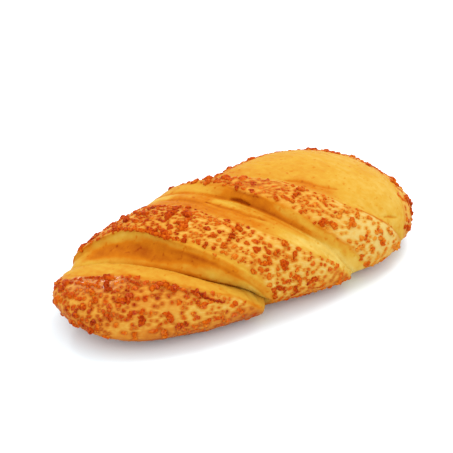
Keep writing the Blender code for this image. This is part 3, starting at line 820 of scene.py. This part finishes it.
cheeseBaking = {    # tones from 0 to 1
    "middle": 0.42,
    "flecks": 0.13,             # how much flecks differ, then lumps, then points of a lump
    "lumps": 0.09,
    "points": 0.05,
    "top": (-0.40, 0.28),       # below 0 a fleck is browner at its rim, above 0 on top
    "topNearEnd": 0.28,
    "topMiddle": 0.6,           # the share of the height where neither shows
    "nearEnd": ((42, 0.04), (62, -0.04)),    # darker on the near end and high on the ridges
    "high": ("bLow", 0, "cTop", 1, 1, ((-15, 0.12), (20, 0))),
    "third": ("cLow", 0, "cTop", 0, 1, ((42, -0.06), (62, -0.24))),
    "nearSide": ((42, 0), (62, -0.04)),
}
cheeseShine = {
    "everywhere": 0.25,
    "nearEnd": ("nearEnd", 0, "aTop", -1, 3, 0.75),    # the near end is glazed
    "glazed": 0.5,              # from here a lump counts as glazed
    "brightChance": 0.25,       # how many lumps are bright, and the thin coat on them and the rest
    "bright": 0.20,
    "dull": 0.02,
}


def cheeseBrowning(surface):    # how much darker the cheese is at each point of the crust
    row, angle = overGrid(*surface[:2])
    made = eased(cheeseBaking["nearEnd"], angle) * (row < lineRows()["aTop"])
    made += areaShare(cheeseBaking["high"], row, angle) + areaShare(cheeseBaking["third"], row, angle)
    return made + eased(cheeseBaking["nearSide"], angle)


def cheeseGloss(surface):    # how glazed it is
    return cheeseShine["everywhere"] + areaShare(cheeseShine["nearEnd"], *overGrid(*surface[:2]))


def lumpTones(kind, surface, owner, under, lift, nearEnd, draw):
    toneTable, count, fleckCount = cheeseBaking, len(owner), owner.max() + 1
    fleckTone = draw.normal(toneTable["middle"], toneTable["flecks"], fleckCount)[owner]
    fleckTone += cheeseBrowning(surface).ravel()[under]
    top = draw.uniform(*toneTable["top"], fleckCount)[owner] + toneTable["topNearEnd"] * nearEnd
    tone = kind["tone"] + fleckTone[:, None] + top[:, None] * (lift - toneTable["topMiddle"])
    tone = tone + draw.normal(0, toneTable["lumps"], (count, 1))
    return tone + draw.normal(0, toneTable["points"], (count, len(lift)))


def makeCheese(kind, flecks, crustTree, surface, material, draw):
    if kind["name"] == "cheeseRuns":
        lumps = growRuns(crustTree, surface, draw)
    else:
        lumps = growLumps(flecks, kind, crustTree, surface, draw)
    owner = np.array([lump[0] for lump in lumps])
    under = np.array([lump[1] for lump in lumps])
    gloss = cheeseGloss(surface).ravel()[under]
    nearEnd = gloss > cheeseShine["glazed"]
    verts, lift = lumpPoints(kind, surface, lumps, nearEnd, draw)
    faces = lumpFaces(len(lumps), kind["sides"], len(kind["levels"]))
    piece = makeObject(kind["name"], verts.reshape(-1, 3), faces, material)
    setAttribute(piece.data, "tone", lumpTones(kind, surface, owner, under, lift, nearEnd, draw))
    bright = draw.random(len(lumps)) < cheeseShine["brightChance"]
    shine = gloss * np.where(bright, cheeseShine["bright"], cheeseShine["dull"])
    setAttribute(piece.data, "gloss", np.repeat(shine, verts.shape[1]))
    smoothShade(piece)
    print(kind["name"], "made:", owner.max() + 1, "flecks of", len(lumps), "lumps")
    return piece, [lump[2] for lump in lumps]


def lumpFaces(count, sides, levelCount):
    side = np.arange(sides)
    after = (side + 1) % sides
    fan = np.stack([np.zeros(sides, int), 1 + side, 1 + after], -1)
    quads = [np.stack([1 + side, 1 + sides + side, 1 + sides + after, 1 + after], -1) + level * sides
             for level in range(levelCount - 1)]
    each = 1 + sides * levelCount
    moves = (np.arange(count) * each)[:, None, None]
    return list((fan + moves).reshape(-1, 3)) + list((np.concatenate(quads) + moves).reshape(-1, 4))


def treeOf(spots):
    tree = kdtree.KDTree(len(spots))
    for number, spot in enumerate(spots):
        tree.insert(spot, number)
    tree.balance()
    return tree


haloTone = {    # the crust is browner close to the cheese, by mm from a lump
    "close": ((0.5, 0.38), (1.8, 0)),
    "apart": ((1.2, 0), (2.6, -0.05)),
    "vein": ((0.15, -0.15), (0.8, 0)),    # paler midway: mm nearer to one fleck than to the next
    "veinFrom": ((0.5, 0), (1.1, 1), (2.5, 1), (4, 0)),    # and mm from a lump
}


def addHalo(crustPiece, spots, flecks):    # the crust's tone changed close to the cheese
    lumpTree = treeOf(spots)
    fleckTree = treeOf([centre for centre, _ in flecks])
    layer = crustPiece.data.attributes["crustTone"]
    tone = np.zeros(len(crustPiece.data.vertices), dtype=np.float32)
    layer.data.foreach_get("value", tone)
    gaps, nearer = np.zeros(len(tone)), np.zeros(len(tone))
    for number, vertex in enumerate(crustPiece.data.vertices):
        gaps[number] = lumpTree.find(vertex.co)[2] / mm
        found = sorted((gap - flecks[fleck][1]) / mm for _, fleck, gap in fleckTree.find_n(vertex.co, 3))
        nearer[number] = found[1] - found[0]
    tone += eased(haloTone["close"], gaps) + eased(haloTone["apart"], gaps)
    tone += eased(haloTone["vein"], nearer) * eased(haloTone["veinFrom"], gaps)
    layer.data.foreach_set("value", np.clip(tone, 0, 1))


def makeAllCheese(crustPiece, surface, material):
    crustTree = treeOf(surface[2].reshape(-1, 3))
    taken, pieces, everywhere, allFlecks = {}, [], [], []
    for kind in cheeseKinds:
        draw = np.random.default_rng(kind["seed"])
        flecks = []
        if kind["name"] == "cheeseChunks":
            flecks = largeCheese()
            for centre, reach in flecks:
                takeRoom(centre, reach * cheeseRule["largeRoom"], taken)
        elif "count" in kind:
            flecks = scatterFlecks(kind, surface, taken, draw)
        piece, spots = makeCheese(kind, flecks, crustTree, surface, material, draw)
        pieces.append(piece)
        everywhere.append(spots)
        allFlecks += flecks
    addHalo(crustPiece, np.concatenate(everywhere), allFlecks)
    return pieces


def linear(red, green, blue, share=1.0):    # from screen values of 0 to 255
    def one(value):
        value /= 255
        return value / 12.92 if value <= 0.04045 else ((value + 0.055) / 1.055) ** 2.4
    return (one(red) * share, one(green) * share, one(blue) * share, 1)


crustFinish = {    # colours by tone, as they look on a screen
    "crust": ((0.0, (250, 214, 124)), (0.3, (246, 182, 72)), (0.6, (232, 140, 40)), (1.0, (190, 84, 14))),
    "bare": ((0.0, (255, 218, 112)), (0.3, (241, 182, 60)), (0.6, (230, 132, 16)), (1.0, (180, 74, 0))),
    "crustCloud": (420, 0.35),    # noise in the tone: waves per metre, and how much
    "bareCloud": (300, 0.26),
    "specks": (330, 0.24),
    "speckRange": (0.64, 0.80),    # of their noise, from none to full
    "roughness": 0.52,
    "specular": 0.03,
    "bump": (900, 0.3 * mm, 0.35),    # waves per metre, height and strength
}
cheeseFinish = {
    "tones": ((0.0, (250, 158, 44)), (0.3, (240, 114, 10)), (0.62, (214, 76, 0)), (1.0, (156, 38, 0))),
    "cloud": (750, 1.1),
    "roughness": 0.45,
    "specular": 0.03,
    "glazeRoughness": 0.18,     # of the thin shine, also the crust's
    "bump": (1200, 0.3 * mm, 0.2),
}
floorFinish = {"colour": (236, 247, 252), "roughness": 0.9, "specular": 0.03}


def ramp(nodes, stops):
    made = nodes.new("ShaderNodeValToRGB")
    elements = made.color_ramp.elements
    while len(elements) < len(stops):
        elements.new(0.5)
    for element, (place, colour) in zip(elements, stops):
        element.position = place
        element.color = linear(*colour, studio["dim"])
    return made


def cloudNode(nodes, links, scale, detail):    # noise over the object, from 0 to 1
    where = nodes.new("ShaderNodeTexCoord")
    cloud = nodes.new("ShaderNodeTexNoise")
    cloud.inputs["Scale"].default_value = scale
    cloud.inputs["Detail"].default_value = detail
    links.new(where.outputs["Object"], cloud.inputs["Vector"])
    return cloud.outputs["Fac"]


def readTone(nodes, links, name, scale, amount):    # an attribute with fine noise added
    attribute = nodes.new("ShaderNodeAttribute")
    attribute.attribute_name = name
    centred = nodes.new("ShaderNodeMath")
    centred.operation = "SUBTRACT"
    links.new(cloudNode(nodes, links, scale, 4), centred.inputs[0])
    centred.inputs[1].default_value = 0.5
    added = nodes.new("ShaderNodeMath")
    added.operation = "MULTIPLY_ADD"
    links.new(centred.outputs[0], added.inputs[0])
    added.inputs[1].default_value = amount
    links.new(attribute.outputs["Fac"], added.inputs[2])
    return added.outputs[0]


def addSpecks(nodes, links, tone, scale, amount):    # small browner specks here and there
    picked = nodes.new("ShaderNodeMapRange")
    low, high = crustFinish["speckRange"]
    picked.inputs["From Min"].default_value = low
    picked.inputs["From Max"].default_value = high
    picked.inputs["To Max"].default_value = amount
    links.new(cloudNode(nodes, links, scale, 1), picked.inputs["Value"])
    added = nodes.new("ShaderNodeMath")
    links.new(picked.outputs["Result"], added.inputs[0])
    links.new(tone, added.inputs[1])
    return added.outputs[0]


def addBump(nodes, links, shader, scale, distance, strength):
    bump = nodes.new("ShaderNodeBump")
    bump.inputs["Distance"].default_value = distance
    bump.inputs["Strength"].default_value = strength
    links.new(cloudNode(nodes, links, scale, 5), bump.inputs["Height"])
    links.new(bump.outputs["Normal"], shader.inputs["Normal"])


def addGlaze(nodes, links, shader, name):    # a thin coat, as strong as the attribute says
    gloss = nodes.new("ShaderNodeAttribute")
    gloss.attribute_name = name
    links.new(gloss.outputs["Fac"], shader.inputs["Coat Weight"])
    shader.inputs["Coat Roughness"].default_value = cheeseFinish["glazeRoughness"]


def newMaterial(name, finish):
    material = bpy.data.materials.new(name)
    material.use_nodes = True
    nodes, links = material.node_tree.nodes, material.node_tree.links
    shader = nodes["Principled BSDF"]
    shader.inputs["Roughness"].default_value = finish["roughness"]
    shader.inputs["Specular IOR Level"].default_value = finish["specular"]
    return material, nodes, links, shader


def crustMaterial():
    finish = crustFinish
    material, nodes, links, shader = newMaterial("bakedCrust", finish)
    crustTone = readTone(nodes, links, "crustTone", *finish["crustCloud"])
    bareTone = readTone(nodes, links, "bareTone", *finish["bareCloud"])
    bareTone = addSpecks(nodes, links, bareTone, *finish["specks"])
    crust = ramp(nodes, finish["crust"])
    bare = ramp(nodes, finish["bare"])
    links.new(crustTone, crust.inputs["Fac"])
    links.new(bareTone, bare.inputs["Fac"])
    share = nodes.new("ShaderNodeAttribute")
    share.attribute_name = "bareShare"
    mix = nodes.new("ShaderNodeMix")
    mix.data_type = "RGBA"
    links.new(share.outputs["Fac"], mix.inputs["Factor"])
    links.new(crust.outputs["Color"], mix.inputs["A"])
    links.new(bare.outputs["Color"], mix.inputs["B"])
    links.new(mix.outputs["Result"], shader.inputs["Base Color"])
    addGlaze(nodes, links, shader, "glaze")
    addBump(nodes, links, shader, *finish["bump"])
    return material


def cheeseMaterial():
    material, nodes, links, shader = newMaterial("bakedCheese", cheeseFinish)
    tones = ramp(nodes, cheeseFinish["tones"])
    links.new(readTone(nodes, links, "tone", *cheeseFinish["cloud"]), tones.inputs["Fac"])
    links.new(tones.outputs["Color"], shader.inputs["Base Color"])
    addGlaze(nodes, links, shader, "gloss")
    addBump(nodes, links, shader, *cheeseFinish["bump"])
    return material


# Floor, light and camera.
studio = {
    "floorHalf": 3.0,
    "floorDrop": 0.1 * mm,      # just under the loaf
    "worldStrength": 1.27,
    "dim": 0.60,                # colours are named as they look in this light
    "keyPlace": (0.46, 0.05, 1.1),
    "keySize": 0.5,
    "keyPower": 5.0,
    "glintPlace": (-0.1, 0.92, 0.93),    # small, from behind, for the shine on the near end
    "glintSize": 0.12,
    "glintPower": 2.0,
    "fillPlace": (-0.7, -0.7, 0.7),
    "fillSize": 1.2,
    "fillPower": 3.5,
}
photoView = {
    "azimuth": math.radians(-36.5),
    "elevation": math.radians(34.0),
    "distance": 0.72,
    "lens": 93.0,
    "over": (-0.0007, 0.0022),    # the place on the table that it turns about
    "aimRight": -0.0049,        # metres from there that the camera looks at
    "aimUp": 0.0277,
}


def makeFloor():
    half = studio["floorHalf"]
    level = -studio["floorDrop"]
    corners = [(-half, -half, level), (half, -half, level), (half, half, level), (-half, half, level)]
    material, _, _, shader = newMaterial("paleFloor", floorFinish)
    shader.inputs["Base Color"].default_value = linear(*floorFinish["colour"])
    floor = makeObject("floor", corners, [(0, 1, 2, 3)], material)


def makeLight(name, place, size, power):
    light = bpy.data.lights.new(name, "AREA")
    light.size = size
    light.energy = power
    lamp = bpy.data.objects.new(name, light)
    lamp.location = place
    lamp.rotation_euler = (-Vector(place)).to_track_quat("-Z", "Y").to_euler()
    bpy.context.collection.objects.link(lamp)


def makeStudio():
    makeFloor()
    world = bpy.data.worlds.new("studio")
    world.use_nodes = True
    world.node_tree.nodes["Background"].inputs["Color"].default_value = (1, 1, 1, 1)
    world.node_tree.nodes["Background"].inputs["Strength"].default_value = studio["worldStrength"]
    bpy.context.scene.world = world
    for name in ("key", "fill", "glint"):
        makeLight(name, studio[name + "Place"], studio[name + "Size"], studio[name + "Power"])
    bpy.context.scene.view_settings.view_transform = "Standard"


def makeCamera():
    azimuth, elevation = photoView["azimuth"], photoView["elevation"]
    back = Vector((math.sin(azimuth) * math.cos(elevation), -math.cos(azimuth) * math.cos(elevation),
                   math.sin(elevation)))
    right = Vector((math.cos(azimuth), math.sin(azimuth), 0))
    up = back.cross(right)
    middle = Vector((*photoView["over"], 0))
    camera = bpy.data.objects.new("camera", bpy.data.cameras.new("camera"))
    camera.location = middle + back * photoView["distance"]
    target = middle + right * photoView["aimRight"] + up * photoView["aimUp"]
    camera.rotation_euler = (target - camera.location).to_track_quat("-Z", "Y").to_euler()
    camera.data.lens = photoView["lens"]
    bpy.context.collection.objects.link(camera)
    bpy.context.scene.camera = camera


makeStudio()
makeCamera()
print("studio made")
crustPiece, *surface = makeCrust(crustMaterial())
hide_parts("loaf")
pieces = [crustPiece] + makeAllCheese(crustPiece, surface, cheeseMaterial())
for piece in pieces:
    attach(piece, "root")
print("pieces placed")
